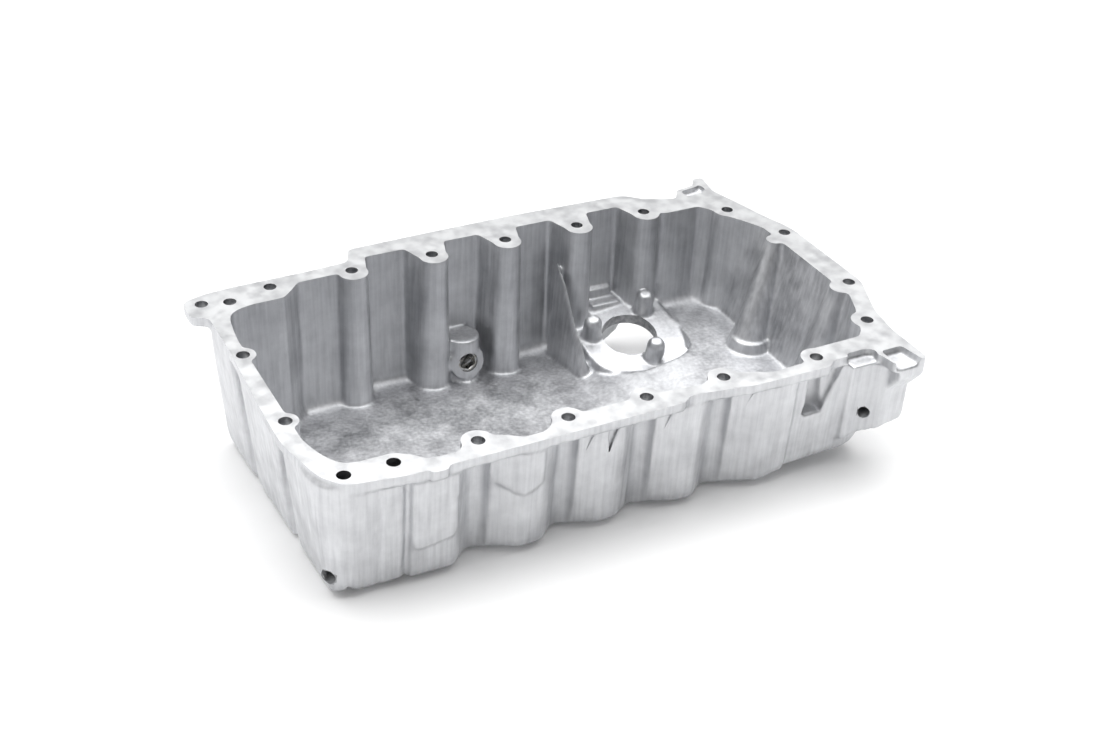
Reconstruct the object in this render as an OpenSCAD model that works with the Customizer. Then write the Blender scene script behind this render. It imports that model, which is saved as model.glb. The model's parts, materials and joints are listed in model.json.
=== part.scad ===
// Engine oil pan: a die-cast aluminium sump with a machined bolting flange, its
// drain plug and the plug's sealing ring. Millimetres, +Z up.
// The work is laid out from the flange: x runs along the pan from its deep end to its
// gearbox end, y across it from the middle of the bolt rows, and z = 0 is the machined
// face. The last transform puts the origin at the bottom middle of the whole box.

/* [Flange] */
// Thickness of the machined bolting flange
flange_t = 7; // [6:0.5:9]
// Distance of the two long bolt rows from the middle line
rail_y = 99.7; // [99:0.1:101]
// Diameter of the plain holes for the flange bolts
bolt_hole_d = 8; // [7:0.1:8.6]
// Diameter of the room for a bolt head under the flange
bolt_room_d = 13.6; // [13:0.1:14.4]

/* [Body] */
// Thickness of the walls of the bays and of the floor
wall = 4.5; // [4:0.1:5.5]
// Depth of the bays between the far columns, beyond the bolt row
bay_y = 13.3; // [12.5:0.1:14]
// Depth of the deep floor at the far wall, under the flange face
deep_depth = 94; // [88:1:100]
// Depth of the shallow floor at the gearbox end
shallow_depth = 73; // [70:1:76]
// Fall of the deep floor for each millimetre across the pan
floor_fall = 0.1; // [0.08:0.01:0.12]
// Radius between the walls and the floor
floor_r = 8; // [5:0.5:10]
// Inward lean of the walls for each millimetre of depth
draft = 0.035; // [0.025:0.005:0.045]

/* [Columns] */
// Diameter of a bolt column where it meets the flange
column_d = 19; // [18:0.5:20]
// Growth of a column's diameter down to the floor
column_growth = 4; // [2:0.5:5]
// Half width of a column's root in the long walls
column_root = 14; // [12:0.5:16]

/* [Sensor seat] */
// Diameter of the opening for the oil level sensor
sensor_d = 39; // [36:0.5:39]
// Radius of the circle on which the three sensor screws lie
screw_circle_r = 26.8; // [26.6:0.1:28]
// Diameter of a screw boss on the sensor seat
screw_boss_d = 13; // [11:0.5:13]
// Height of a screw boss above the sensor seat
screw_boss_h = 18; // [14:1:22]
// Core diameter of the threads for the sensor screws
screw_core_d = 5; // [4:0.1:6]
// Thickness of the sensor seat
seat_t = 8; // [7:0.5:10]

/* [Drain] */
// Thread diameter of the drain plug
plug_thread_d = 14; // [12:0.5:16]
// Diameter of the boss round the drain plug
drain_boss_d = 25; // [23:0.5:27]
// Tilt of the drain plug from the flange plane
plug_tilt = 12; // [8:1:16]
// Width across the flats of the plug's head
plug_head_af = 19; // [17:0.5:22]
// Height of the plug's head
plug_head_h = 7.5; // [6:0.5:9]
// Width across the flats of the hexagon socket in the plug's inner end
plug_socket_af = 10; // [8:0.5:10]
// Thickness of the sealing ring
ring_t = 1.5; // [1:0.1:2.5]

/* [Gearbox end] */
// Reach of the gearbox tabs from the middle line
tab_y = 130; // [128:0.5:132]
// Core diameter of the tapped hole low in the deep corner
corner_core_d = 8.5; // [7:0.1:9]
// Core diameter of the tapped hole in the gearbox bracket
bracket_core_d = 6.8; // [5:0.1:7]

/* [Hidden] */
$fn = 48;

// Bolt places along the two rows
far_bolts = [28.5, 82.5, 138, 191, 245, 297.5];
near_bolts = [77.2, 132.5, 183, 235];
// Bolts that stand off the rows
near_step_bolt = [298.5, -103.3];
deep_end_bolts = [[-11.2, 31.3], [-11.2, -41.4]];
shallow_end_bolts = [[372, 36.6], [372, -36.6]];
far_corner_bolts = [[0.3, 91.8], [353.7, 80.2]];
near_corner_bolt = [353.7, -80.2];
ear_bolt = [-16.3, 95.5];
// Two long bolts pass down the closed deep corner
long_bolts = [[0, -rail_y], [28, -rail_y]];
// Every bolt with room for its head, as [x, y, direction of the room's open side]
roomy_bolts = concat(
    [for (x = far_bolts) [x, rail_y, 90]],
    [for (x = near_bolts) [x, -rail_y, 270]],
    [for (p = deep_end_bolts) [p[0], p[1], 180]],
    [for (p = shallow_end_bolts) [p[0], p[1], 0]],
    [[far_corner_bolts[0][0], far_corner_bolts[0][1], 135]],
    [[far_corner_bolts[1][0], far_corner_bolts[1][1], 40]],
    [[near_corner_bolt[0], near_corner_bolt[1], -40]]
);

// Ends of the whole pan
ear_x = -27;
end_x = 380;

// Lean of the end walls, as [x at the flange, x lost for each millimetre of depth],
// first the inside face and then the outside one
deep_end = [[-9, 0.055], [-17.8, 0.1]];
shallow_end = [[362.5, 0.2], [369.2, 0.2]];

// Plans of the walls at the flange, as [x, distance beyond the bolt row]: how the wall
// swings in round each bolt and out between them, inside and outside, near and far
inside_near = concat(
    [[-9.1, -40], [-8, -34], [-6.4, -28], [-4.6, -22], [-2, -17], [1, -12], [5, -9],
     [12, -7.7], [31, -7.7], [39, -2.7], [46, 4.8], [62, 5], [66, 3.5]],
    [for (x = near_bolts) each [[x - 8.5, -1.5], [x + 9, -1.5]]],
    [[92, 0.8], [102, 7.3], [114, 7.3], [119, 4.3], [148, -1.1], [168, -1.2],
     [196, -0.7], [218, 2.3], [249, 0.3], [265, 7.3], [286, 6.3], [290, 5.6], [296, 3],
     [304, -5], [337, -5.3], [342, -10], [348, -20], [355, -33], [362.6, -50]]
);
inside_far = [
    [-9.1, -54], [-8, -42], [-6.4, -30], [-4.6, -24], [-2, -21], [1, -19], [5, -17.5],
    [12, -16], [32, -15.5], [38, -10], [46, -1.5], [66, -0.7], [76, -0.7], [86, bay_y],
    [290, bay_y], [296, 12], [304, -5], [312, -7.7], [337, -7.7], [342, -14], [348, -27],
    [355, -38], [362.6, -53],
];
near_face = 11.3;
outside_near = concat(
    [[-17.6, -16], [-16.2, -8], [-14, -2], [-11.5, 1.5], [-8.5, 4.5], [-4, 7.5], [4, 9.3],
     [14.5, 9.8], [17, 8.6], [19.5, 9.8], [30, 9.8], [31, 7.6], [33.5, 7.6], [34.5, near_face],
     [60, near_face], [64.5, 8.2], [68.4, 2.4]],
    [for (x = near_bolts) [x + 9, 2.4]],
    [[92, 5.4], [102, near_face], [113.5, near_face], [119, 8.4], [123.6, 2.4],
     [148, 5.6], [155, 8.4], [164.5, 8.4], [169, 6.4], [173.8, 2.4],
     [198.5, 5.4], [205, 8], [216.5, 9.4], [221.5, 7], [226.2, 2.4],
     [249, 4.6], [265, near_face], [280, near_face], [281.5, 12.6], [283, 9.8],
     [290, 9.8], [330, 8.5], [338, 6], [346, 1], [353, -6], [360, -18], [366, -34],
     [369.4, -48]]
);
outside_far = [
    [-17.6, -28], [-16.2, -20], [-14, -14], [-11.5, -11], [-8.5, -8], [-4, -4], [4, 0],
    [16, 2], [50, 4.3], [80, 4.8], [90, bay_y + wall], [294, bay_y + wall], [304, 6.3],
    [320, 4.5], [330, 3.5], [338, 1.5], [346, -2.5], [353, -9], [360, -20], [366, -35],
    [369.4, -48],
];

// Where the inside floor climbs from the deep part, and where the outside steps up
ramp_x = [224, 284];
step_x = [276, 283];
far_floor_y = 88;
fall_along = 0.015;

// Height of the deep floor and of the climb to the shallow one
function deep_z(x, y) = -deep_depth - fall_along * x + floor_fall * (far_floor_y - y);
function climb(x, span) = min(1, max(0, (x - span[0]) / (span[1] - span[0])));
function floor_z(x, y, span, t) =
    let (c = climb(x, span))
    (1 - c) * deep_z(x, y) - c * shallow_depth - t;
// Height of the leaning end walls over a place
function end_z(x, grow) =
    max((deep_end[grow][0] - x) / deep_end[grow][1],
        (x - shallow_end[grow][0]) / shallow_end[grow][1]);

// One section across the pan: down the near wall, over the floor and up the far wall
function section(x, near, far, grow, span, top) =
    let (
        t = grow > 0 ? wall : 0,
        low_n = min(top - 0.1, max(floor_z(x, near, span, t), end_z(x, grow))),
        low_f = min(top - 0.1, max(floor_z(x, far, span, t), end_z(x, grow))),
        in_n = near - draft * low_n,
        in_f = far + draft * low_f,
        r_n = min(floor_r, (top - low_n) / 2),
        r_f = min(floor_r, (top - low_f) / 2)
    )
    concat(
        [[x, near, top]],
        [for (a = [0:30:90]) [x, in_n + r_n * (1 - cos(a)), low_n + r_n * (1 - sin(a))]],
        [for (a = [90:-30:0]) [x, in_f - r_f * (1 - cos(a)), low_f + r_f * (1 - sin(a))]],
        [[x, far, top]]
    );
function sorted(v) =
    len(v) < 2 ? v :
    let (m = v[floor(len(v) / 2)])
    concat(sorted([for (x = v) if (x < m) x]), [m], sorted([for (x = v) if (x > m) x]));
// A section wherever the near or the far plan has a point, closer ones taken as one
function places(near, far) =
    let (all = sorted([for (p = concat(near, far)) p[0]]))
    [for (i = [0:len(all) - 1]) if (i == 0 || all[i] - all[i - 1] > 0.45) all[i]];
function sections(near, far, grow, span, top) =
    [for (x = places(near, far))
        section(x, -rail_y - lookup(x, near), rail_y + lookup(x, far), grow, span, top)];

outside_top = -flange_t / 2;
inside_sections = sections(inside_near, inside_far, 0, ramp_x, 1);
outside_sections = sections(outside_near, outside_far, 1, step_x, outside_top);
base_z = min([for (s = outside_sections) for (p = s) p[2]]);
to_row = [-(ear_x + end_x) / 2, 0, -base_z];

// The sensor seat: a tilted plane through this point
seat_at = [274, 67, -75.6];
seat_turn = [12.5, -4.6, 0];
function seat_edge(far, grow = 1) = [for (p = soft([
    [-36, -4, 6], [-34, -22, 8], [-12, -38, 12], [14, -39, 9], [31, -30, 9], [37, -6, 10],
    [36, 20, 6], [32, far, 0], [-34, far, 0]
], 2)) grow * p];
screw_turns = [0, 120, 240];
screw_turn_0 = -80;

// The drain: the plug's inner end, on a line across the pan
drain_at = [160.5, 89.4, -82.6];
plug_len = 27;
fit = 0.15;

// A solid skin over a row of sections with equal numbers of points
module loft(rows) {
    n = len(rows[0]);
    m = len(rows);
    polyhedron(
        points = [for (row = rows) each row],
        faces = concat(
            [[for (j = [0:n - 1]) j]],
            [[for (j = [n - 1:-1:0]) (m - 1) * n + j]],
            [for (i = [0:m - 2]) for (j = [0:n - 1]) let (k = (j + 1) % n)
                each [[i * n + j, (i + 1) * n + j, (i + 1) * n + k],
                      [i * n + j, (i + 1) * n + k, i * n + k]]]
        )
    );
}

// Corners of an outline [x, y, c] softened by a curve that starts c before the corner
function soft(outline, steps = 4) =
    let (n = len(outline))
    [for (i = [0:n - 1])
        let (
            p = outline[i],
            a = outline[(i + n - 1) % n],
            b = outline[(i + 1) % n],
            q = [p[0], p[1]],
            u = [a[0], a[1]] - q,
            v = [b[0], b[1]] - q,
            s = q + u * p[2] / norm(u),
            e = q + v * p[2] / norm(v)
        )
        each (p[2] == 0 ? [q] : [for (k = [0:steps]) let (f = k / steps)
            (1 - f) * (1 - f) * s + 2 * f * (1 - f) * q + f * f * e])];

// Outer edge of the flange, with a curve length at each corner
flange_edge = [
    [-20.5, -60, 8], [-13, -95, 6], [-3, -108.5, 5], [30, -113.5, 4], [43, -113.7, 0],
    [43, -117, 1], [53, -117, 1], [53, -113.8, 0], [200, -113.8, 2], [206, -109.2, 2],
    [213, -109.2, 3], [248, -114.8, 6], [301, -115.4, 2], [306, -110.6, 2],
    [317, -110.6, 0.5], [317, -116.5, 0.5], [336, -116.5, 1], [338, -tab_y, 1.5],
    [361, -tab_y, 1.5], [361, -97, 4], [365, -74, 5], [373, -55, 6], [end_x, -40, 6],
    [end_x, 40, 8], [372, 64, 5], [366, 88, 5], [360, 109, 3], [364, tab_y, 1.5],
    [356, tab_y, 1.5], [352, 122, 2], [336, 119, 2], [329, 108, 4], [306, 117, 5],
    [296, 127, 6], [206, 129, 5], [137, 127.5, 5], [90, 126, 4], [84, 111, 3],
    [57, 109, 5], [7, 108, 5], [-13, 106, 5], [ear_x, 101, 5], [ear_x, 83, 3],
    [-17, 78, 3], [-17, 41, 5], [-20, -29, 6],
];

module flange_plate() {
    translate([0, 0, -flange_t]) linear_extrude(flange_t) polygon(soft(flange_edge));
}

// A block with sloping sides: half widths and depths at its foot and at its top
module taper(foot, top, z0, z1) {
    loft([[for (p = foot) [p[0], p[1], z0]], [for (p = top) [p[0], p[1], z1]]]);
}

// A bolt column of the inside, with its root in the wall, on the far (1) or near (-1) side
module column(x, y, side, reach = 16) {
    low = -120;
    grow = column_growth * -low / deep_depth / 2;
    translate([x, y, 0]) mirror([0, side < 0 ? 1 : 0, 0]) {
        translate([0, 0, low]) cylinder(h = 2 - low, r1 = column_d / 2 + grow, r2 = column_d / 2);
        taper(
            [[-column_d / 2 - grow + 0.6, 0], [column_d / 2 + grow - 0.6, 0],
             [column_root + grow, reach], [-column_root - grow, reach]],
            [[-column_d / 2 + 0.6, 0], [column_d / 2 - 0.6, 0],
             [column_root, reach], [-column_root, reach]],
            low, 2.5
        );
    }
}

// Room for a bolt's head and driver below the flange, open to one side
module bolt_room(x, y, turn, wide = 8, low = -120) {
    r = bolt_room_d / 2;
    translate([x, y, low]) rotate(turn - 90) translate([0, 1, 0]) {
        cylinder(h = -flange_t - low, r1 = r + 1.5, r2 = r);
        linear_extrude(-flange_t - low)
            polygon([[-r + 0.5, 0], [r - 0.5, 0], [r + wide, 20], [-r - wide, 20]]);
    }
}

// The sensor seat stands over the deep floor as a block with leaning sides
module seat_block() {
    translate(seat_at) rotate(seat_turn) taper(seat_edge(58, 1.2), seat_edge(58), -34, 0);
}
// Where the shallow floor is higher than the seat, it is cut back to the seat's plane
module seat_recess() {
    translate(seat_at) rotate(seat_turn) taper(seat_edge(40), seat_edge(40, 1.08), 0, 12);
}
module screw_bosses() {
    translate(seat_at) rotate(seat_turn) for (a = screw_turns) rotate(screw_turn_0 + a)
        translate([screw_circle_r, 0, -1]) {
            cylinder(h = screw_boss_h - 3, d1 = screw_boss_d + 1, d2 = screw_boss_d - 0.6);
            translate([0, 0, screw_boss_h - 3.2])
                cylinder(h = 3.2, d1 = screw_boss_d - 0.8, d2 = screw_boss_d - 5);
        }
}
// A thin rib runs from the fourth far column down to the corner of the seat
module seat_rib() {
    loft([
        [[231, 100, -18], [226, 100, -100], [240, 100, -100]],
        [[233, 56, -77], [229, 50, -100], [240, 50, -100]],
    ]);
}
// Two ribs of the gearbox end wall lean with it, the deep one on a stepped foot
module end_rib(at, lean, foot_r, top_r) {
    translate(at) rotate(lean) translate([0, 0, -84]) cylinder(h = 88, r1 = foot_r, r2 = top_r);
}
module end_ribs() {
    end_rib([361, 31, 0], [-8.6, 16, 0], 13.5, 5.5);
    translate([341, 19, -90]) cylinder(h = 25, r1 = 17, r2 = 13.5);
    end_rib([364, -40, 0], [0, 10, 0], 16, 7);
}
// Two low steps fill the bay behind the sensor seat
module bay_step(front, half, top) {
    taper([[-half, front], [half, front], [half, 6], [-half, 6]],
          [[1 - half, front + 1], [half - 1, front + 1], [half - 1, 6], [1 - half, 6]], -90, top);
}
module bay_steps() {
    translate([271, 112, 0]) {
        bay_step(-7, 10, -59);
        bay_step(-17, 12, -66);
    }
}

// The plug's line: its inner end faces the pan, its head is outside
module on_drain() {
    translate(drain_at) rotate([-90 - plug_tilt, 0, 0]) children();
}
// The boss round the plug, with two steps over it
module drain_step(behind, above, d) {
    translate([drain_at[0], drain_at[1] + behind, -120]) cylinder(h = 120 + drain_at[2] + above, d = d);
}
module drain_boss() {
    on_drain() translate([0, 0, -1]) cylinder(h = 40, d = drain_boss_d);
    drain_step(8, 5.6, drain_boss_d - 4);
    drain_step(10, 16.6, drain_boss_d - 1);
}

// The free space inside the pan
module inside() {
    difference() {
        loft(inside_sections);
        for (x = [for (i = [1:5]) far_bolts[i]]) column(x, rail_y - 2.7, 1);
        for (x = near_bolts) column(x, -rail_y, -1, 6);
        column(near_step_bolt[0], near_step_bolt[1], -1);
        for (p = deep_end_bolts) translate([p[0], p[1], -120])
            cylinder(h = 122, r1 = 13, r2 = 7.5);
        for (p = [far_corner_bolts[1], near_corner_bolt]) translate([p[0], p[1], -120])
            cylinder(h = 122, r1 = 14, r2 = 10);
        seat_block();
        seat_rib();
        end_ribs();
        bay_steps();
        drain_boss();
        screw_bosses();
    }
    difference() {
        seat_recess();
        for (x = [far_bolts[4], far_bolts[5]]) column(x, rail_y - 2.7, 1);
        bay_steps();
        screw_bosses();
    }
}

// The bracket for the gearbox at the near corner: a rib, a slanting web with a tapped hole
// and a boss, all under the flange's tab
module gearbox_bracket() {
    function row(x, front, low, back) =
        [[x, front, -3], [x, front, low], [x, back, low], [x, back, -3]];
    loft([row(321.5, -109, -64, -90), row(322.5, -110.5, -64, -90), row(331.5, -110.5, -61, -88),
          row(342.5, -120, -54, -86), row(349, -120.5, -52, -84), row(358, -120.5, -51, -86),
          row(361, -119, -47, -92)]);
    function lip(x) =
        [[x, -tab_y, -3], [x, -tab_y, -12], [x, -121, -24], [x, -112, -24], [x, -112, -3]];
    loft([lip(342.5), lip(361)]);
}
// Pockets of the two gearbox tabs and the slot beside the near one, all open upwards
module tab_pockets() {
    translate([0, 0, -5]) linear_extrude(10)
        polygon(soft([[316.9, -107.5, 0], [316.9, -120, 0], [334.5, -120, 0], [334.5, -116, 2],
                      [337, -112, 2], [333, -107.5, 3]], 3));
    taper([[339.5, -114.2], [341, -135], [355, -135], [355.5, -127], [353.5, -114.2]],
          [[337.8, -112.6], [338.6, -135], [357, -135], [357.5, -127], [355, -112.6]], -4.5, 1);
    taper([[338.5, 108.5], [352, 110.5], [356, 113.5], [356, 120.5], [352, 118], [338.5, 116]],
          [[337.5, 107], [352.3, 109], [357, 112], [357, 122.5], [352, 120], [337.5, 117.5]], -4, 1);
}
// Triangular pockets beside the near bolts, under the flange: they are cut back to these two
// distances beyond the bolt row, at their left and at their right edge
module gusset_pocket(x0, x1, low, left, right) {
    out = -rail_y - 14;
    taper([[x0, out], [x0 + 0.8, out], [x0 + 0.8, -rail_y - left - 1], [x0, -rail_y - left - 1]],
          [[x0, out], [x1, out], [x1, -rail_y - right], [x0, -rail_y - left]],
          low, -flange_t);
}
module gusset_pockets() {
    gusset_pocket(143, 150, -25, 1.5, 2.5);
    gusset_pocket(156, 163.5, -26, 4, 5);
    gusset_pocket(193, 201.5, -27, 1.8, 2.8);
    gusset_pocket(247, 256, -29, 2.4, 6.2);
    gusset_pocket(303, 317, -42, 3, 3);
}
// Raised pads of the near wall: a tall one by the deep corner and a low crescent beside it
module near_pads() {
    translate([0, -rail_y - near_face, 0]) rotate([92, 0, 0]) translate([0, 0, -3]) linear_extrude(4.4)
        polygon(soft([[35.3, -2, 0], [35.3, -56, 6], [61.5, -52, 5], [61.5, -2, 0]], 3));
    function row(x, face, low) =
        let (y = -rail_y - face)
        [[x, y, -2], [x, y - draft * low, low], [x, y + 6, low], [x, y + 6, -2]];
    loft([row(87, 4, -30), row(92, 7, -33), row(97, 10, -36.5), row(102, 12.8, -37.5),
          row(108, 12.8, -35), row(113, 12.8, -31)]);
}

module oil_pan() {
    translate(to_row) color("gainsboro") difference() {
        union() {
            loft(outside_sections);
            flange_plate();
            near_pads();
            gearbox_bracket();
            on_drain() translate([0, 0, 6]) cylinder(h = plug_len - 6, d = drain_boss_d);
            translate(seat_at) rotate(seat_turn)
                taper(seat_edge(36, 1.06), seat_edge(36, 1.12), -seat_t, -0.5);
        }
        inside();
        for (p = roomy_bolts) bolt_room(p[0], p[1], p[2]);
        bolt_room(near_step_bolt[0], near_step_bolt[1], 270, 2, -38);
        flange_holes();
        corner_hole();
        bracket_hole();
        tab_pockets();
        gusset_pockets();
        sensor_cuts();
        on_drain() translate([0, 0, -1]) cylinder(h = plug_len + 2, d = plug_thread_d);
    }
}

module flange_holes() {
    for (p = concat(roomy_bolts, [ear_bolt, near_step_bolt])) translate([p[0], p[1], -flange_t - 2])
        cylinder(h = flange_t + 3, d = bolt_hole_d);
    for (p = long_bolts) translate([p[0], p[1], -120]) cylinder(h = 130, d = bolt_hole_d);
}

// A tapped hole low in the deep corner, square to its face
module corner_hole() {
    translate([-17, -106, -66]) rotate([0, 90, 45]) cylinder(h = 18, d = corner_core_d);
}

// A tapped hole in the slanting web of the gearbox bracket
module bracket_hole() {
    translate([334.7, -112.7, -43.9]) rotate([90, 0, -41]) translate([0, 0, -12])
        cylinder(h = 24, d = bracket_core_d);
}

module sensor_cuts() {
    translate(seat_at) rotate(seat_turn) {
        translate([0, 0, -60]) cylinder(h = 80, d = sensor_d);
        taper(seat_edge(28, 0.9), seat_edge(28, 0.82), -60, -seat_t);
        for (a = screw_turns) rotate(screw_turn_0 + a) translate([screw_circle_r, 0, -seat_t - 1])
            cylinder(h = seat_t + 12, d = screw_core_d);
    }
}

module drain_plug() {
    translate(to_row) color("silver") on_drain() difference() {
        union() {
            cylinder(h = plug_len + ring_t, d = plug_thread_d);
            translate([0, 0, plug_len + ring_t]) cylinder(h = 2, d = plug_head_af + 3);
            translate([0, 0, plug_len + ring_t + 2])
                cylinder(h = plug_head_h - 2, d = plug_head_af / cos(30), $fn = 6);
        }
        translate([0, 0, -1]) cylinder(h = 7, d = plug_socket_af / cos(30), $fn = 6);
    }
}

module drain_plug_washer() {
    translate(to_row) color("sandybrown") on_drain() translate([0, 0, plug_len]) difference() {
        cylinder(h = ring_t, d = plug_thread_d + 8);
        translate([0, 0, -1]) cylinder(h = ring_t + 2, d = plug_thread_d + 2 * fit);
    }
}

oil_pan();
drain_plug();
drain_plug_washer();
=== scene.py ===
# %% [markdown]
# # A die-cast engine oil pan
#
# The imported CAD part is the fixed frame: every size and place below is read from it, from
# its record, or repeated from its source. Blender adds what casting and machining do to
# the surface: soft edges where the metal ran in a mould, sharp ones where a cutter
# passed, and a finish for each.

# %% Load the frame
import json
import math

import bpy
import numpy as np
from mathutils import Matrix, Vector


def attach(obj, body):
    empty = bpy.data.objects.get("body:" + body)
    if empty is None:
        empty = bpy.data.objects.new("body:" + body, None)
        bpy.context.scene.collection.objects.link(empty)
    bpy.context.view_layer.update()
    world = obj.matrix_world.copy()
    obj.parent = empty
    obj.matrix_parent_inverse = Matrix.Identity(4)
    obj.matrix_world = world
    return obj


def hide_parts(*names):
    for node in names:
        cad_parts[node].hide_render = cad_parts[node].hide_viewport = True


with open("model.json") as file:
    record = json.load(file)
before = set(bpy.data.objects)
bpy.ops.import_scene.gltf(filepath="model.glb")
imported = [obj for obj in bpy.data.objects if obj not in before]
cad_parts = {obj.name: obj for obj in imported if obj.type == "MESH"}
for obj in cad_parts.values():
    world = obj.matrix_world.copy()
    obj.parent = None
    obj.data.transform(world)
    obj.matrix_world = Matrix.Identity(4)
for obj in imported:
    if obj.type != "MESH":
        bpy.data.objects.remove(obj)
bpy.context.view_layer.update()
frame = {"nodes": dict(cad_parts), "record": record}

MM = 0.001
mounts = {mount["name"]: mount for mount in frame["record"]["mounts"]}
flange_z = mounts["flange_face"]["pos_m"][2]

# %% [markdown]
# ## The camera
#
# The view angle and the place were worked out from the bolt holes, which all lie on one
# flat face. The picture is 1110 x 740 and the sensor is 36 mm wide, so a focal length in
# pixels becomes a lens in millimetres.

# %% Camera
PICTURE_WIDTH = 1110
SENSOR_MM = 36
FOCAL_PX = 1562.6
CAMERA_PLACE = Vector((-402.43, -716.6, 598.55)) * MM
# In radians: away from +Y, down from level, and a slight lean
CAMERA_TURN, CAMERA_DIP, CAMERA_LEAN = -0.5138, 0.5753, 0.0593
NEAREST_SEEN = 0.05

camera = bpy.data.objects.new("camera", bpy.data.cameras.new("camera"))
bpy.context.scene.collection.objects.link(camera)
camera.data.sensor_width = SENSOR_MM
camera.data.lens = FOCAL_PX * SENSOR_MM / PICTURE_WIDTH
camera.data.clip_start = NEAREST_SEEN
camera.location = CAMERA_PLACE
camera.rotation_euler = (
    Matrix.Rotation(CAMERA_TURN, 3, "Z")
    @ Matrix.Rotation(math.pi / 2 - CAMERA_DIP, 3, "X")
    @ Matrix.Rotation(CAMERA_LEAN, 3, "Z")
).to_euler()
bpy.context.scene.camera = camera
print("lens", round(camera.data.lens, 2), "mm")

# %% [markdown]
# ## The floor
#
# The pan stands on its underside, which falls slightly towards one corner. Tilting the
# pan would take it out of the frame, so the floor is tilted in its place. It touches the
# lowest point of the casting, which is found among the solid's own vertices.

# %% Floor
FLOOR_SIZE = 8.0
UNDERSIDE_FALL = (-0.015, -0.10)

normal = Vector((-UNDERSIDE_FALL[0], -UNDERSIDE_FALL[1], 1)).normalized()
contact = min(normal.dot(vertex.co) for vertex in frame["nodes"]["oil_pan"].data.vertices)
bpy.ops.mesh.primitive_plane_add(size=FLOOR_SIZE)
floor = bpy.context.object
floor.name = "studio_floor"
floor.rotation_euler = Vector((0, 0, 1)).rotation_difference(normal).to_euler()
floor.location = normal * contact
print("floor under the origin at z", round(contact / normal.z / MM, 2), "mm")


# %% [markdown]
# ## Helpers for every material
#
# Colours are picked as sRGB hex values, as a paint chart gives them. The shader works
# with linear light, so one function turns them. A second one adds a shader node, sets
# it up and links it, which keeps each material below a short list of what it is made of.

# %% Colour and node helpers
def linear(hex_colour):
    """An sRGB hex colour as the linear RGBA that a shader takes."""
    parts = [int(hex_colour[i : i + 2], 16) / 255 for i in (0, 2, 4)]
    return [p / 12.92 if p <= 0.04045 else ((p + 0.055) / 1.055) ** 2.4 for p in parts] + [1]


def add(material, kind, settings=None, **inputs):
    """Adds a node. Settings are its own properties; inputs are values or other sockets.

    An input is named as in the editor, with _ for a space, or _0, _1 ... by its number.
    """
    tree = material.node_tree
    node = tree.nodes.new(kind)
    for name, value in (settings or {}).items():
        setattr(node, name, value)
    for name, value in inputs.items():
        key = int(name[1:]) if name[0] == "_" else name.replace("_", " ")
        if isinstance(value, bpy.types.NodeSocket):
            tree.links.new(value, node.inputs[key])
        else:
            node.inputs[key].default_value = value
    return node


def new_material(name):
    """An empty node material and its output node."""
    material = bpy.data.materials.new(name)
    material.use_nodes = True
    material.node_tree.nodes.clear()
    return material, material.node_tree.nodes.new("ShaderNodeOutputMaterial")


def finish_material(material, output, shader):
    material.node_tree.links.new(shader.outputs[0], output.inputs["Surface"])
    print("material", material.name, "with", len(material.node_tree.nodes), "nodes")
    return material


def set_ramp(ramp, dark_at, dark, light_at, light):
    """Gives a colour ramp its two ends."""
    for end, place, colour in zip(ramp.color_ramp.elements, (dark_at, light_at), (dark, light)):
        end.position = place
        end.color = linear(colour)


print("half grey 808080 is", round(linear("808080")[0], 3), "of full light")

# %% [markdown]
# ## White table and soft light
#
# A bare metal shows mostly what is around it, so the light matters more than the colour.
# A lamp alone leaves it black with small highlights. Here one very large soft light hangs
# over the pan, a weak one on the left lifts the deep end, and a room that is bright
# behind the pan and dark behind the camera gives the walls their grey.

# %% Table
# A white sheet lit a little from below, as on a light table, keeps the shadow faint
TABLE_GLOW = 0.06

paper, output = new_material("white_light_table")
sheet = add(paper, "ShaderNodeBsdfDiffuse", Color=linear("FAFAFA"))
under = add(paper, "ShaderNodeEmission", Color=linear("FFFFFF"), Strength=TABLE_GLOW)
shader = add(paper, "ShaderNodeAddShader", _0=sheet.outputs[0], _1=under.outputs[0])
floor.data.materials.append(finish_material(paper, output, shader))

# %% Room
BRIGHT_SIDE = Vector((-0.1, 0.7, 0.7)).normalized()
ROOM_DARK, ROOM_BRIGHT = 0.05, 0.85
# Cosines of the angle to the bright side, between which the room grows bright
DARK_UNTIL, BRIGHT_FROM = -0.35, 0.6

world = bpy.data.worlds.new("studio_room")
world.use_nodes = True
bpy.context.scene.world = world
direction = add(world, "ShaderNodeTexCoord").outputs["Generated"]
towards = add(
    world, "ShaderNodeVectorMath", {"operation": "DOT_PRODUCT"}, _0=direction, _1=BRIGHT_SIDE
)
glow = add(
    world, "ShaderNodeMapRange", {"interpolation_type": "SMOOTHSTEP"},
    Value=towards.outputs["Value"], From_Min=DARK_UNTIL, From_Max=BRIGHT_FROM,
    To_Min=ROOM_DARK, To_Max=ROOM_BRIGHT,
)
backdrop = world.node_tree.nodes["Background"]
world.node_tree.links.new(glow.outputs[0], backdrop.inputs["Strength"])
backdrop.inputs["Color"].default_value = linear("FFFFFF")
print("room from", ROOM_DARK, "to", ROOM_BRIGHT)

# %% Softboxes
LIT_POINT = Vector((0, 0, 0.06))


def softbox(name, place, width, length, power):
    """A rectangular area light that looks at the pan: metres and watts."""
    light = bpy.data.lights.new(name, "AREA")
    light.shape = "RECTANGLE"
    light.size, light.size_y, light.energy = width, length, power
    lamp = bpy.data.objects.new(name, light)
    bpy.context.scene.collection.objects.link(lamp)
    lamp.location = place
    lamp.rotation_euler = (LIT_POINT - Vector(place)).to_track_quat("-Z", "Y").to_euler()
    print("softbox", name, power, "W")


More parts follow.
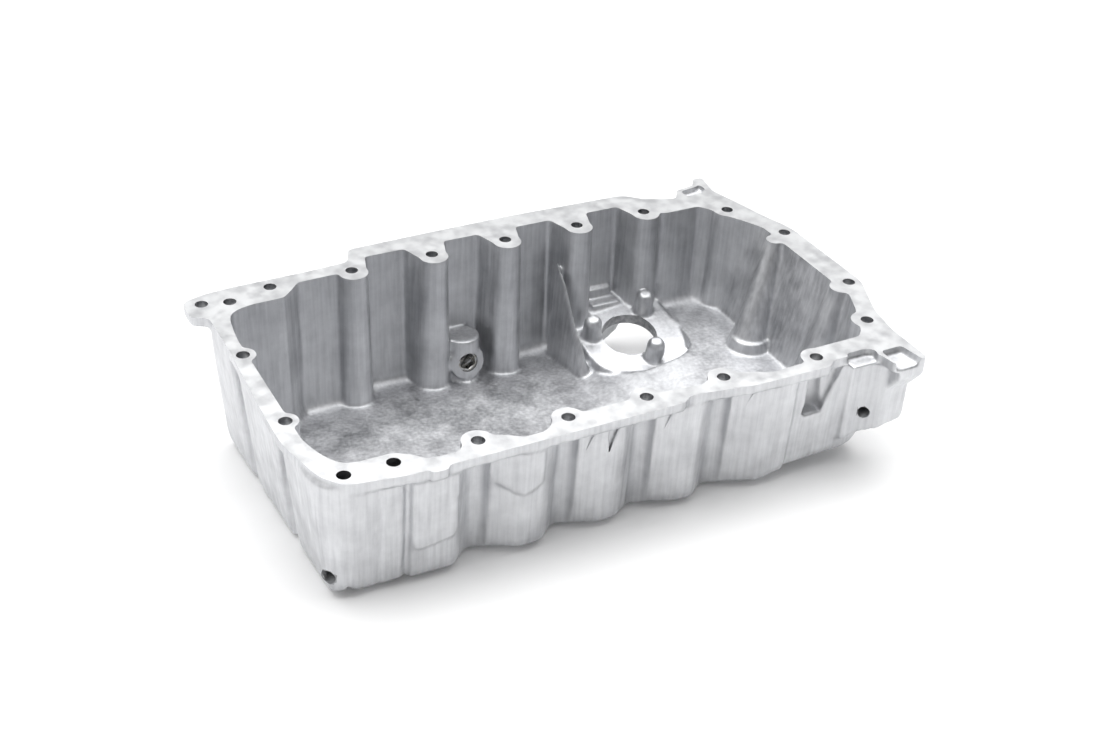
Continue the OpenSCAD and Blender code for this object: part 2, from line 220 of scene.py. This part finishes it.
softbox("overhead", (0.1, 0.3, 1.6), 2.2, 1.6, 29)
softbox("left", (-1.6, -0.3, 0.9), 0.9, 0.6, 0.4)
bpy.context.scene.view_settings.view_transform = "Standard"


# %% [markdown]
# ## The casting, first as it leaves the mould
#
# A casting has no sharp edges: metal shrinks round every corner and the mould itself is
# rounded. Beveling hundreds of crossing edges by hand breaks easily, so the blank is
# made the way a sculptor would. The solid is remeshed into small even cells, smoothed
# until each edge is a small radius, and thinned again. The flange is left 3 mm too
# high and the holes are filled, because in the factory both are cut after casting.

# %% Copy and merge the solid
BLANK_STOCK = 3 * MM
SAME_POINT = 0.001 * MM
ON_FLANGE = 0.01 * MM


def only(obj):
    """Selects one object and makes it active."""
    bpy.ops.object.select_all(action="DESELECT")
    obj.select_set(True)
    bpy.context.view_layer.objects.active = obj


def join(first, others):
    """Joins objects into the first one, without merging any of their points."""
    only(first)
    for other in others:
        other.select_set(True)
    bpy.ops.object.join()
    return first


def apply_modifier(obj, kind, **settings):
    only(obj)
    modifier = obj.modifiers.new(kind.lower(), kind)
    for name, value in settings.items():
        setattr(modifier, name, value)
    bpy.ops.object.modifier_apply(modifier=modifier.name)


casting = bpy.data.objects.new("pan_casting", frame["nodes"]["oil_pan"].data.copy())
bpy.context.scene.collection.objects.link(casting)
casting.data.materials.clear()
only(casting)
bpy.ops.object.mode_set(mode="EDIT")
bpy.ops.mesh.select_all(action="SELECT")
bpy.ops.mesh.remove_doubles(threshold=SAME_POINT)
bpy.ops.object.mode_set(mode="OBJECT")
for vertex in casting.data.vertices:
    if vertex.co.z > flange_z - ON_FLANGE:
        vertex.co.z += BLANK_STOCK
print("faces of the solid", len(casting.data.polygons))


# %% [markdown]
# ## Where the holes are
#
# Every machined hole is a mount of the record but one. The drain bore has a plug in it,
# so its line is measured on the two CAD solids of the plug and its sealing ring.

# %% Measure the plug along its axis
PLUG_TILT = math.radians(12)
SHANK_R = 7.0 * MM
plug_axis = Vector((0, math.cos(PLUG_TILT), -math.sin(PLUG_TILT)))


def along_axis(node):
    """A node's middle, its nearest and farthest reach along the plug's axis, its radius."""
    points = [vertex.co for vertex in node.data.vertices]
    middle = sum(points, Vector()) / len(points)
    spans = [(point - middle).dot(plug_axis) for point in points]
    radii = [((point - middle) - plug_axis * span).length for point, span in zip(points, spans)]
    return middle, min(spans), max(spans), max(radii)


ring_middle, ring_low, ring_high, ring_radius = along_axis(frame["nodes"]["drain_plug_washer"])
plug_middle, plug_low, plug_high, _ = along_axis(frame["nodes"]["drain_plug"])
plug_start = ring_middle + plug_axis * ((plug_middle - ring_middle).dot(plug_axis) + plug_low)
plug_length = plug_high - plug_low
seat = (ring_middle + plug_axis * ring_high - plug_start).dot(plug_axis)
print("plug length", round(plug_length / MM, 2), "head starts at", round(seat / MM, 2), "mm")

# %% [markdown]
# The record lists each machined hole with its place, axis and radius. A pair of bolts
# is given by its middle and its spacing. The same list is used twice: slightly larger
# cores fill the holes of the blank, and later the drills open them to size.

# %% Holes from the record
DRILL_SIDES = 64


def machined_holes():
    """Each hole as (name, middle, axis, radius, length) in metres."""
    found = []
    for name, mount in mounts.items():
        sizes = mount["dims"]
        middle, axis = Vector(mount["pos_m"]), Vector(mount["axis"])
        if mount["kind"] == "bolt_pattern":
            spacing = (sizes.get("spacing_x_mm", 0), sizes.get("spacing_y_mm", 0), 0)
            half = Vector(spacing) * MM / 2
            length = 2 * (flange_z - middle.z)
            for place in (middle + half, middle - half):
                found.append((name, place, axis, sizes["hole_r_mm"] * MM, length))
        elif "r_mm" in sizes:
            found.append((name, middle, axis, sizes["r_mm"] * MM, sizes["length_mm"] * MM))
    # The drain bore runs from the boss's inner end to the sealing ring
    depth = seat - ring_high + ring_low
    found.append(("drain_bore", plug_start + plug_axis * depth / 2, plug_axis, SHANK_R, depth))
    return found


def rod(middle, axis, radius, length, sides=DRILL_SIDES):
    """A round rod along an axis, used as a core or as a drill."""
    bpy.ops.object.select_all(action="DESELECT")
    bpy.ops.mesh.primitive_cylinder_add(vertices=sides, radius=radius, depth=length)
    made = bpy.context.object
    made.data.transform(Vector((0, 0, 1)).rotation_difference(axis).to_matrix().to_4x4())
    made.data.transform(Matrix.Translation(middle))
    return made


def is_tapped(name):
    return name in mounts and mounts[name]["kind"] == "threaded_hole"


holes = machined_holes()
print("machined holes:", len(holes), "of them tapped:", sum(is_tapped(hole[0]) for hole in holes))

# %% Fill the holes with cores and remesh the blank
CORE_OVERSIZE = 0.6 * MM
CORE_SIDES = 32
UPRIGHT = 0.999
CAST_CELL = 1.15 * MM
CAST_ROUNDING = 10
CASTING_TRIANGLES = 175000

cores = []
for name, middle, axis, radius, length in holes:
    top = BLANK_STOCK if abs(axis.z) > UPRIGHT else 0
    place = middle + Vector((0, 0, top / 2))
    cores.append(rod(place, axis, radius + CORE_OVERSIZE, length + top, CORE_SIDES))
join(casting, cores)
apply_modifier(casting, "REMESH", mode="VOXEL", voxel_size=CAST_CELL)
print("faces after the remesh", len(casting.data.polygons))
apply_modifier(casting, "SMOOTH", factor=0.5, iterations=CAST_ROUNDING)
apply_modifier(casting, "TRIANGULATE")
apply_modifier(casting, "DECIMATE", ratio=CASTING_TRIANGLES / len(casting.data.polygons))
print("faces of the blank", len(casting.data.polygons))

# %% [markdown]
# ## The three finishes of the casting
#
# One grey metal for the whole pan would look like plastic. On the real pan the mould, the
# face mill and the drills each leave their own surface, and the eye tells them apart by
# their gloss more than by their colour. The mould's skin is dull, with streaks where the
# casting was drawn out and clouds where the metal ran cold. Two noises make them: one
# stretched down the walls, one even. Both drive the tone, the gloss and a faint bump.

# %% Die-cast skin
# All of these are per metre: streaks 2 to 3 mm wide and 45 mm long, clouds of 22 mm, and
# the mould face's grain of 0.6 mm
STREAKS_ACROSS, STREAKS_DOWN = 420, 22
CLOUDS, MOULD_GRAINS = 45.0, 1600.0


def cast_aluminium():
    """Die-cast aluminium, shot and tumbled: a dull bright skin with draw streaks."""
    material, output = new_material("die_cast_aluminium")
    place = add(material, "ShaderNodeTexCoord").outputs["Object"]
    stretch = (STREAKS_ACROSS, STREAKS_ACROSS, STREAKS_DOWN)
    drawn = add(material, "ShaderNodeMapping", Vector=place, Scale=stretch)
    streaks = add(material, "ShaderNodeTexNoise", Vector=drawn.outputs[0], Scale=1.0, Detail=4.0)
    clouds = add(
        material, "ShaderNodeTexNoise", Vector=place, Scale=CLOUDS, Detail=5.0, Roughness=0.6
    )
    grain = add(material, "ShaderNodeTexNoise", Vector=place, Scale=MOULD_GRAINS, Detail=3.0)
    mixed = add(
        material, "ShaderNodeMix", {"data_type": "FLOAT"},
        Factor=0.6, _2=streaks.outputs["Fac"], _3=clouds.outputs["Fac"],
    )
    tone = add(material, "ShaderNodeValToRGB", Fac=mixed.outputs[0])
    set_ramp(tone, 0.32, "B4B5B8", 0.66, "E3E4E6")
    rough = add(
        material, "ShaderNodeMapRange", Value=mixed.outputs[0],
        From_Min=0.35, From_Max=0.65, To_Min=0.40, To_Max=0.62,
    )
    low = add(
        material, "ShaderNodeBump", Height=mixed.outputs[0], Strength=0.35, Distance=0.4 * MM
    )
    fine = add(
        material, "ShaderNodeBump", Height=grain.outputs["Fac"], Normal=low.outputs[0],
        Strength=0.25, Distance=0.1 * MM,
    )
    shader = add(
        material, "ShaderNodeBsdfPrincipled", Base_Color=tone.outputs[0], Metallic=1.0,
        Roughness=rough.outputs[0], Normal=fine.outputs[0],
    )
    return finish_material(material, output, shader)


cast_skin = cast_aluminium()

# %% [markdown]
# A face mill wider than the flange leaves long shallow arcs. The real ones are about
# 0.4 mm apart, too fine for the render, so rings of 0.8 mm round a far centre stand for
# them. Handling dulls the face in patches of about 8 mm.

# %% Milled flange face
MILL_RINGS, WORN_PATCHES = 400.0, 120.0
MILL_CENTRE = (0.1, 0.9, 0)


def milled_aluminium():
    """Milled aluminium: a nearly white face with fine cutter marks."""
    material, output = new_material("milled_aluminium")
    place = add(material, "ShaderNodeTexCoord").outputs["Object"]
    moved = add(material, "ShaderNodeMapping", Vector=place, Location=MILL_CENTRE)
    marks = add(
        material, "ShaderNodeTexWave", {"wave_type": "RINGS", "rings_direction": "SPHERICAL"},
        Vector=moved.outputs[0], Scale=MILL_RINGS, Distortion=1.0,
    )
    wear = add(material, "ShaderNodeTexNoise", Vector=place, Scale=WORN_PATCHES, Detail=6.0)
    rough = add(
        material, "ShaderNodeMapRange", Value=wear.outputs["Fac"],
        From_Min=0.3, From_Max=0.7, To_Min=0.32, To_Max=0.5,
    )
    bump = add(
        material, "ShaderNodeBump", Height=marks.outputs["Fac"], Strength=0.12,
        Distance=0.1 * MM,
    )
    tone = add(material, "ShaderNodeValToRGB", Fac=wear.outputs["Fac"])
    set_ramp(tone, 0.3, "C6C7C9", 0.6, "D8D9DA")
    shader = add(
        material, "ShaderNodeBsdfPrincipled", Base_Color=tone.outputs[0], Metallic=1.0,
        Roughness=rough.outputs[0], Normal=bump.outputs[0],
    )
    return finish_material(material, output, shader)


milled_face = milled_aluminium()

# %% [markdown]
# The drilled walls, the plug's zinc and the ring's copper differ only in colour, patch
# size and gloss, so one recipe makes all three. A drill leaves a rougher wall than a face
# mill, because its chips drag along it in patches of about 3 mm. The drilled walls' darker
# tone is painted shade: it stands for the shade inside the narrow bores.

# %% Other bare metals
def bare_metal(name, dark, light, patch, rough_low, rough_high, bump):
    """A metal whose tone and gloss wander together, in so many patches per metre."""
    material, output = new_material(name)
    place = add(material, "ShaderNodeTexCoord").outputs["Object"]
    patches = add(material, "ShaderNodeTexNoise", Vector=place, Scale=patch, Detail=6.0)
    tone = add(material, "ShaderNodeValToRGB", Fac=patches.outputs["Fac"])
    set_ramp(tone, 0.35, dark, 0.65, light)
    rough = add(
        material, "ShaderNodeMapRange", Value=patches.outputs["Fac"],
        From_Min=0.3, From_Max=0.7, To_Min=rough_low, To_Max=rough_high,
    )
    skin = add(
        material, "ShaderNodeBump", Height=patches.outputs["Fac"], Strength=bump,
        Distance=0.1 * MM,
    )
    shader = add(
        material, "ShaderNodeBsdfPrincipled", Base_Color=tone.outputs[0], Metallic=1.0,
        Roughness=rough.outputs[0], Normal=skin.outputs[0],
    )
    return finish_material(material, output, shader)


# Darker than the milled face: this tone is painted shade for the inside of the bores
drilled_wall_painted_shade = bare_metal("drilled_aluminium_painted_shade", "7E7F82", "A9AAAC", 300.0, 0.4, 0.6, 0.3)

# %% [markdown]
# ## Milling, drilling and tapping
#
# A boolean cut is the nearest thing that Blender has to a cutter. One wide block takes
# the stock off the flange. The drills are then joined into one tool and cut at once,
# because every cut goes over the whole fine mesh again.

# %% Mill the flange face
MILL_BLOCK = (0.6, 0.5, 10 * MM)


def cut(obj, tool):
    """Takes a tool's volume out of an object and deletes the tool."""
    apply_modifier(obj, "BOOLEAN", operation="DIFFERENCE", solver="MANIFOLD", object=tool)
    bpy.data.objects.remove(tool)


bpy.ops.mesh.primitive_cube_add(size=1)
mill = bpy.context.object
mill.data.transform(Matrix.Diagonal((*MILL_BLOCK, 1)))
mill.data.transform(Matrix.Translation((0, 0, flange_z + MILL_BLOCK[2] / 2)))
cut(casting, mill)
print("faces after milling", len(casting.data.polygons))

# %% [markdown]
# A tapped hole shows its thread as dark rings. A true helix would need thousands of
# faces for a hole of 7 mm, so the tool's edge runs in and out once for each turn and is
# spun about its axis, which looks the same from outside.

# %% Drills and taps
DRILL_OVERRUN = 0.4 * MM
DRILL_BREAKTHROUGH = 4 * MM
THREAD_PITCH = 1.5 * MM
THREAD_DEPTH = 0.7 * MM
TAP_SIDES = 32
# The thread of a smaller hole is too fine to show
SMALLEST_THREAD_R = 3 * MM


def tap(middle, axis, radius, length):
    """A tapping tool: its edge runs in and out once for each turn of the thread."""
    turns = int(length / THREAD_PITCH)
    edge = [(0, -length / 2)]
    for k in range(2 * turns + 1):
        edge.append((radius + THREAD_DEPTH * (k % 2), -length / 2 + k * THREAD_PITCH / 2))
    edge += [(radius, length / 2), (0, length / 2)]
    profile = bpy.data.meshes.new("tap")
    profile.from_pydata(
        [(x, 0, z) for x, z in edge], [(k, k + 1) for k in range(len(edge) - 1)], []
    )
    made = bpy.data.objects.new("tap", profile)
    bpy.context.scene.collection.objects.link(made)
    apply_modifier(made, "SCREW", steps=TAP_SIDES, render_steps=TAP_SIDES)
    bpy.ops.object.mode_set(mode="EDIT")
    bpy.ops.mesh.select_all(action="SELECT")
    bpy.ops.mesh.remove_doubles(threshold=SAME_POINT)
    bpy.ops.mesh.normals_make_consistent(inside=False)
    bpy.ops.object.mode_set(mode="OBJECT")
    made.data.transform(Vector((0, 0, 1)).rotation_difference(axis).to_matrix().to_4x4())
    made.data.transform(Matrix.Translation(middle))
    return made


def breaks_through(name):
    """Whether the tool runs far out at the low and at the high end of the hole's axis."""
    if name in ("sensor_opening", "drain_bore"):
        return True, True
    return (False, True) if is_tapped(name) else (True, False)


tools = []
for name, middle, axis, radius, length in holes:
    low, high = [
        length / 2 + (DRILL_BREAKTHROUGH if far else DRILL_OVERRUN)
        for far in breaks_through(name)
    ]
    shape = tap if is_tapped(name) and radius > SMALLEST_THREAD_R else rod
    tools.append(shape(middle + axis * (high - low) / 2, axis, radius, low + high))
print("drills and taps:", len(tools))

# %% [markdown]
# The small triangular pockets under the near flange are cast, but their slanting edge is
# thin and the rounding above would wash it out. A wedge for each one cuts it clear
# again. The numbers are those of the CAD source, some of them a tenth of a millimetre
# shallower, so that a wedge never goes deeper than the solid. The fifth pocket, near the
# gearbox end, is wide enough to keep its shape without one.

# %% Pocket cores, then all the cuts
SOURCE_SHIFT = Vector((-176.5, 0, flange_z / MM))
BOLT_RAIL, POCKET_OUT, FLANGE_UNDER, POCKET_TIP = 99.7, 118, -7, 0.8
# Each pocket: from x, to x, its lowest z, and how far it leaves the rail at either side
POCKETS = [
    (143, 150, -25, 1.6, 2.6),
    (156, 163.5, -26, 4, 5),
    (193, 201.5, -27, 1.9, 2.9),
    (247, 256, -29, 2.5, 6.2),
]


def pocket_core(x0, x1, lowest, left, right):
    """A wedge that is wide under the flange and runs down to a narrow tip."""
    tip = x0 + POCKET_TIP
    corners = [
        (x0, -POCKET_OUT, lowest), (tip, -POCKET_OUT, lowest),
        (tip, -BOLT_RAIL - left - 1, lowest), (x0, -BOLT_RAIL - left - 1, lowest),
        (x0, -POCKET_OUT, FLANGE_UNDER), (x1, -POCKET_OUT, FLANGE_UNDER),
        (x1, -BOLT_RAIL - right, FLANGE_UNDER), (x0, -BOLT_RAIL - left, FLANGE_UNDER),
    ]
    sides = [(0, 3, 2, 1), (4, 5, 6, 7), (0, 1, 5, 4), (1, 2, 6, 5), (2, 3, 7, 6), (3, 0, 4, 7)]
    mesh = bpy.data.meshes.new("pocket_core")
    mesh.from_pydata([(Vector(corner) + SOURCE_SHIFT) * MM for corner in corners], [], sides)
    made = bpy.data.objects.new("pocket_core", mesh)
    bpy.context.scene.collection.objects.link(made)
    return made


tools += [pocket_core(*pocket) for pocket in POCKETS]
cut(casting, join(tools[0], tools[1:]))
print("faces after machining", len(casting.data.polygons))

# %% [markdown]
# The cut leaves one material on the whole casting. What a tool has touched is found again
# by its place: the flange face by its height, the bores by their distance from an axis.

# %% Give the machined faces their own finish
TOUCHED = 0.06 * MM
FACES_UP = 0.9
BORE_END = 2 * MM
# A flat facet of a round bore lies a little inside its radius
FACET_INSIDE = 0.98
CAST, MILLED, DRILLED = range(3)

faces = casting.data.polygons
centres, normals = np.empty(3 * len(faces)), np.empty(3 * len(faces))
faces.foreach_get("center", centres)
faces.foreach_get("normal", normals)
centres, normals = centres.reshape(-1, 3), normals.reshape(-1, 3)
finish = np.full(len(faces), CAST, np.int32)
finish[(centres[:, 2] > flange_z - TOUCHED) & (normals[:, 2] > FACES_UP)] = MILLED
for name, middle, axis, radius, length in holes:
    offset = centres - np.array(middle)
    along = offset @ np.array(axis)
    out = np.linalg.norm(offset - np.outer(along, np.array(axis)), axis=1)
    thread = THREAD_DEPTH if is_tapped(name) else 0
    in_length = np.abs(along) < length / 2 + BORE_END
    finish[in_length & (out < radius + thread + TOUCHED) & (out > radius * FACET_INSIDE)] = DRILLED
casting.data.materials.clear()
for material in (cast_skin, milled_face, drilled_wall_painted_shade):
    casting.data.materials.append(material)
faces.foreach_set("material_index", finish)
print("cast, milled and drilled faces:", np.bincount(finish))

# %% Hand the casting over
SHARP_FROM = math.radians(35)

only(casting)
bpy.ops.object.shade_smooth_by_angle(angle=SHARP_FROM)
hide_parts("oil_pan")
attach(casting, "root")
print("casting done")

# %% [markdown]
# ## The drain plug and its sealing ring
#
# The plug is forged and turned: a hexagon head with its corners chamfered by a cone, a
# collar, a shank, and a hexagon socket with a chamfered mouth in its inner end. Lathe
# and die make the same solids as cones with many or with six sides, so each step is a
# cone that is joined, kept or taken away. Its length and its seat are read back from the
# CAD solid. It is built upright and laid on its axis at the end.

# %% Plug
COLLAR_R, COLLAR_T = 11.0 * MM, 2.0 * MM
HEAD_FLATS, SOCKET_FLATS = 19 * MM, 10 * MM
HEAD_R, SOCKET_R = [flats / 2 / math.cos(math.pi / 6) for flats in (HEAD_FLATS, SOCKET_FLATS)]
SOCKET_DEPTH = 6.0 * MM
# The head's corners lose 1.6 mm at its end, to a cone that is wide clear of its foot
HEAD_CHAMFER, CONE_SPREAD = 1.6 * MM, 6.5 * MM
MOUTH_DEPTH, MOUTH_FLARE = 0.8 * MM, 1 * MM
PAST_THE_END = 1 * MM
HEAD_OVERLAP = 0.1 * MM
TURNED_SIDES = 96
BEVEL_FROM = math.radians(40)


def turned(name, z0, z1, r0, r1=None, sides=TURNED_SIDES):
    """A straight or tapered turned length between two heights."""
    bpy.ops.object.select_all(action="DESELECT")
    bpy.ops.mesh.primitive_cone_add(
        vertices=sides, radius1=r0, radius2=r0 if r1 is None else r1, depth=z1 - z0,
        location=(0, 0, (z0 + z1) / 2),
    )
    made = bpy.context.object
    made.name = name
    bpy.ops.object.transform_apply(location=True, rotation=True, scale=True)
    return made


def combine(obj, tool, operation):
    apply_modifier(obj, "BOOLEAN", operation=operation, solver="EXACT", object=tool)
    bpy.data.objects.remove(tool)


def break_edges(obj, width):
    """Takes the sharpness off every edge that a tool has left."""
    apply_modifier(
        obj, "BEVEL", width=width, segments=3, limit_method="ANGLE", angle_limit=BEVEL_FROM
    )


def lay(obj, start):
    """Turns a piece from the Z axis to the plug's axis and moves it to its place."""
    obj.data.transform(Vector((0, 0, 1)).rotation_difference(plug_axis).to_matrix().to_4x4())
    obj.data.transform(Matrix.Translation(start))


plug = turned("plug_screw", 0, seat, SHANK_R)
combine(plug, turned("collar", seat, seat + COLLAR_T, COLLAR_R), "UNION")
head = turned("head", seat + COLLAR_T - HEAD_OVERLAP, plug_length, HEAD_R, sides=6)
cone = turned("cone", seat, plug_length, HEAD_R + CONE_SPREAD, HEAD_R - HEAD_CHAMFER)
combine(head, cone, "INTERSECT")
combine(plug, head, "UNION")
combine(plug, turned("socket", -PAST_THE_END, SOCKET_DEPTH, SOCKET_R, sides=6), "DIFFERENCE")
mouth = turned(
    "mouth", -PAST_THE_END, MOUTH_DEPTH, SOCKET_R + MOUTH_FLARE, SOCKET_R - MOUTH_DEPTH
)
combine(plug, mouth, "DIFFERENCE")
break_edges(plug, 0.5 * MM)
lay(plug, plug_start)
print("plug faces", len(plug.data.polygons))

# %% Sealing ring
RING_SLACK = 0.15 * MM
# From below the ring's lower face to above its upper one
BORE_CUTTER = (-1 * MM, 5 * MM)

ring = turned("copper_ring", 0, ring_high - ring_low, ring_radius)
combine(ring, turned("ring_bore", *BORE_CUTTER, SHANK_R + RING_SLACK), "DIFFERENCE")
break_edges(ring, 0.4 * MM)
lay(ring, ring_middle + plug_axis * ring_low)
print("ring faces", len(ring.data.polygons))


# %% [markdown]
# Zinc plating is a thin grey skin with a slight yellow bloom. The copper of a new ring
# is annealed, so it is dull and pinkish with darker patches from the furnace.

# %% Finish the plug and the ring
zinc = bare_metal("zinc_plated_steel", "B3B0A6", "D9DADC", 500.0, 0.24, 0.4, 0.2)
copper = bare_metal("annealed_copper", "B0705A", "D99A7C", 350.0, 0.3, 0.45, 0.2)
for piece, metal, node, slot in (
    (plug, zinc, "drain_plug", "zinc_plated_steel"),
    (ring, copper, "drain_plug_washer", "copper_ring"),
):
    only(piece)
    bpy.ops.object.shade_smooth_by_angle(angle=SHARP_FROM)
    piece.data.materials.clear()
    piece.data.materials.append(metal)
    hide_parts(node)
    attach(piece, "root")
